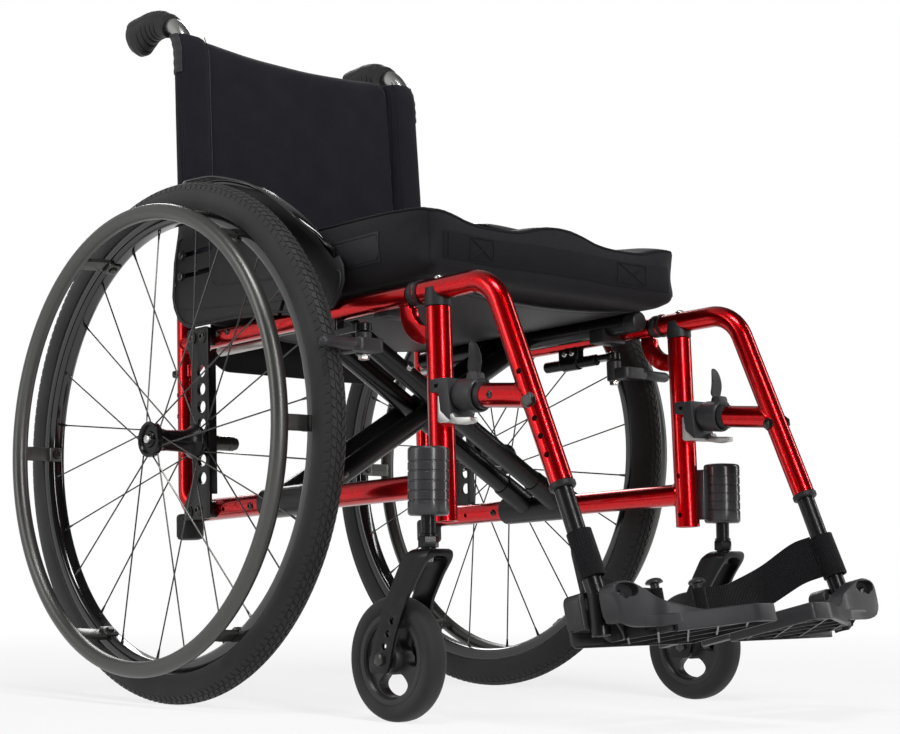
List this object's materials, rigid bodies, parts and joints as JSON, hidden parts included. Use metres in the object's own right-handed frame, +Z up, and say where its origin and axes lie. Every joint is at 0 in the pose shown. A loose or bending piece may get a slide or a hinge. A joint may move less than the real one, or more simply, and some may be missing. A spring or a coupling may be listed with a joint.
{
  "type": "folding wheelchair",
  "caption": "Folding manual wheelchair: tubular side frames, scissor cross-brace, swing-away footrests, spoked wheels with handrims, front casters and a cushion.",
  "frame": {"origin": "on the floor, under the middle of the chair's bounding box", "axes": "+Z up, -Y the way the rider faces, +X the rider's left side"},
  "size_m": [0.612, 0.9684, 0.8457],
  "materials": {
    "red_paint": "gloss",
    "black_paint": "satin",
    "black_alloy": "satin",
    "bright_steel": "satin",
    "black_plastic": "satin",
    "grey_plastic": "satin",
    "rubber": "matte",
    "tyre": "matte",
    "webbing": "matte",
    "seat_fabric": "matte",
    "cushion_cover": "matte"
  },
  "bodies": {
    "right_frame": {"side_frame_right": "red_paint", "frame_foot_right": "rubber", "back_cane_right": "black_paint", "push_grip_right": "rubber", "axle_plate_right": "black_paint", "axle_right": "bright_steel", "lock_clamp_right": "black_alloy", "rail_saddle_right": "black_plastic", "side_guard_right": "black_plastic", "caster_housing_right": "black_paint", "back_upholstery": "seat_fabric"},
    "cushion": {"cushion": "cushion_cover"},
    "arm_a": {"cross_arm_a": "black_paint", "seat_rail_left": "black_paint", "pivot_bolt": "bright_steel"},
    "arm_b": {"cross_arm_b": "black_paint", "seat_rail_right": "black_paint", "seat_sling": "seat_fabric"},
    "left_frame": {"side_frame_left": "red_paint", "frame_foot_left": "rubber", "back_cane_left": "black_paint", "push_grip_left": "rubber", "axle_plate_left": "black_paint", "axle_left": "bright_steel", "lock_clamp_left": "black_alloy", "rail_saddle_left": "black_plastic", "side_guard_left": "black_plastic", "caster_housing_left": "black_paint"},
    "right_hanger": {"hanger_tube_right": "red_paint", "hanger_bushing_right": "black_plastic", "hanger_latch_right": "grey_plastic", "extension_tube_right": "black_paint", "heel_loop_right": "webbing"},
    "right_lever": {"latch_lever_right": "grey_plastic"},
    "right_footplate": {"footplate_right": "grey_plastic"},
    "right_lock_arm": {"lock_arm_right": "black_alloy"},
    "right_wheel": {"rear_tyre_right": "tyre", "rear_rim_right": "black_alloy", "rear_hub_right": "black_alloy", "handrim_right": "black_alloy"},
    "right_button": {"release_button_right": "bright_steel"},
    "right_fork": {"caster_fork_right": "black_alloy"},
    "right_caster": {"caster_wheel_right": "grey_plastic", "caster_tyre_right": "tyre"},
    "left_hanger": {"hanger_tube_left": "red_paint", "hanger_bushing_left": "black_plastic", "hanger_latch_left": "grey_plastic", "extension_tube_left": "black_paint", "heel_loop_left": "webbing"},
    "left_lever": {"latch_lever_left": "grey_plastic"},
    "left_footplate": {"footplate_left": "grey_plastic"},
    "left_lock_arm": {"lock_arm_left": "black_alloy"},
    "left_wheel": {"rear_tyre_left": "tyre", "rear_rim_left": "black_alloy", "rear_hub_left": "black_alloy", "handrim_left": "black_alloy"},
    "left_button": {"release_button_left": "bright_steel"},
    "left_fork": {"caster_fork_left": "black_alloy"},
    "left_caster": {"caster_wheel_left": "grey_plastic", "caster_tyre_left": "tyre"}
  },
  "joints": [
    {"name": "fold", "type": "hinge", "parent": "right_frame", "child": "arm_a", "pos_m": [-0.19, 0.02124, 0.22518], "axis": [0, -0.9992, 0.0401], "range_deg": [0, 42], "deforming": ["seat_sling", "back_upholstery", "cushion"]},
    {"name": "scissor", "type": "hinge", "parent": "arm_a", "child": "arm_b", "pos_m": [0, 0.02562, 0.33436], "axis": [0, -0.9992, 0.0401], "range_deg": [-84, 0]},
    {"name": "left_hinge", "type": "hinge", "parent": "arm_b", "child": "left_frame", "pos_m": [0.19, 0.02124, 0.22518], "axis": [0, -0.9992, 0.0401], "range_deg": [0, 42]},
    {"name": "cushion_lift", "type": "slide", "parent": "right_frame", "child": "cushion", "axis": [0, 0.0401, 0.9992], "range_m": [0, 0.25]},
    {"name": "hanger_swing_right", "type": "hinge", "parent": "right_frame", "child": "right_hanger", "pos_m": [-0.19, -0.18713, 0.43201], "axis": [0, -0.0401, -0.9992], "range_deg": [0, 90]},
    {"name": "latch_lever_right", "type": "hinge", "parent": "right_hanger", "child": "right_lever", "pos_m": [-0.19, -0.24872, 0.34381], "axis": [1, 0, 0], "range_deg": [0, 18], "stiffness_Nm_per_rad": 0.02},
    {"name": "footplate_flip_right", "type": "hinge", "parent": "right_hanger", "child": "right_footplate", "pos_m": [-0.19, -0.40571, 0.11973], "axis": [0, -0.9732, 0.23], "range_deg": [0, 91], "deforming": ["heel_loop_right"]},
    {"name": "wheel_lock_right", "type": "hinge", "parent": "right_frame", "child": "right_lock_arm", "pos_m": [-0.1975, -0.08084, 0.3799], "axis": [0, 0.0401, 0.9992], "range_deg": [0, 55]},
    {"name": "wheel_spin_right", "type": "hinge", "parent": "right_frame", "child": "right_wheel", "pos_m": [-0.248, 0.18917, 0.295], "axis": [1, 0, 0], "continuous": true},
    {"name": "release_button_right", "type": "slide", "parent": "right_frame", "child": "right_button", "axis": [1, 0, 0], "range_m": [0, 0.004], "stiffness_N_per_m": 400},
    {"name": "caster_swivel_right", "type": "hinge", "parent": "right_frame", "child": "right_fork", "pos_m": [-0.229, -0.21533, 0.201], "axis": [0, 0, 1], "continuous": true},
    {"name": "caster_spin_right", "type": "hinge", "parent": "right_fork", "child": "right_caster", "pos_m": [-0.229, -0.17083, 0.0615], "axis": [1, 0, 0], "continuous": true},
    {"name": "hanger_swing_left", "type": "hinge", "parent": "left_frame", "child": "left_hanger", "pos_m": [0.19, -0.18713, 0.43201], "axis": [0, 0.0401, 0.9992], "range_deg": [0, 90]},
    {"name": "latch_lever_left", "type": "hinge", "parent": "left_hanger", "child": "left_lever", "pos_m": [0.19, -0.24872, 0.34381], "axis": [1, 0, 0], "range_deg": [0, 18], "stiffness_Nm_per_rad": 0.02},
    {"name": "footplate_flip_left", "type": "hinge", "parent": "left_hanger", "child": "left_footplate", "pos_m": [0.19, -0.40571, 0.11973], "axis": [0, 0.9732, -0.23], "range_deg": [0, 91], "deforming": ["heel_loop_left"]},
    {"name": "wheel_lock_left", "type": "hinge", "parent": "left_frame", "child": "left_lock_arm", "pos_m": [0.1975, -0.08084, 0.3799], "axis": [0, -0.0401, -0.9992], "range_deg": [0, 55]},
    {"name": "wheel_spin_left", "type": "hinge", "parent": "left_frame", "child": "left_wheel", "pos_m": [0.248, 0.18917, 0.295], "axis": [1, 0, 0], "continuous": true},
    {"name": "release_button_left", "type": "slide", "parent": "left_frame", "child": "left_button", "axis": [-1, 0, 0], "range_m": [0, 0.004], "stiffness_N_per_m": 400},
    {"name": "caster_swivel_left", "type": "hinge", "parent": "left_frame", "child": "left_fork", "pos_m": [0.229, -0.21533, 0.201], "axis": [0, 0, 1], "continuous": true},
    {"name": "caster_spin_left", "type": "hinge", "parent": "left_fork", "child": "left_caster", "pos_m": [0.229, -0.17083, 0.0615], "axis": [1, 0, 0], "continuous": true}
  ],
  "couplings": [
    {"joint": "scissor", "follows": "fold", "ratio": -2},
    {"joint": "left_hinge", "follows": "fold", "ratio": 1},
    {"joint": "footplate_flip_right", "follows": "fold", "ratio": 2.1429},
    {"joint": "footplate_flip_left", "follows": "fold", "ratio": 2.1429}
  ]
}
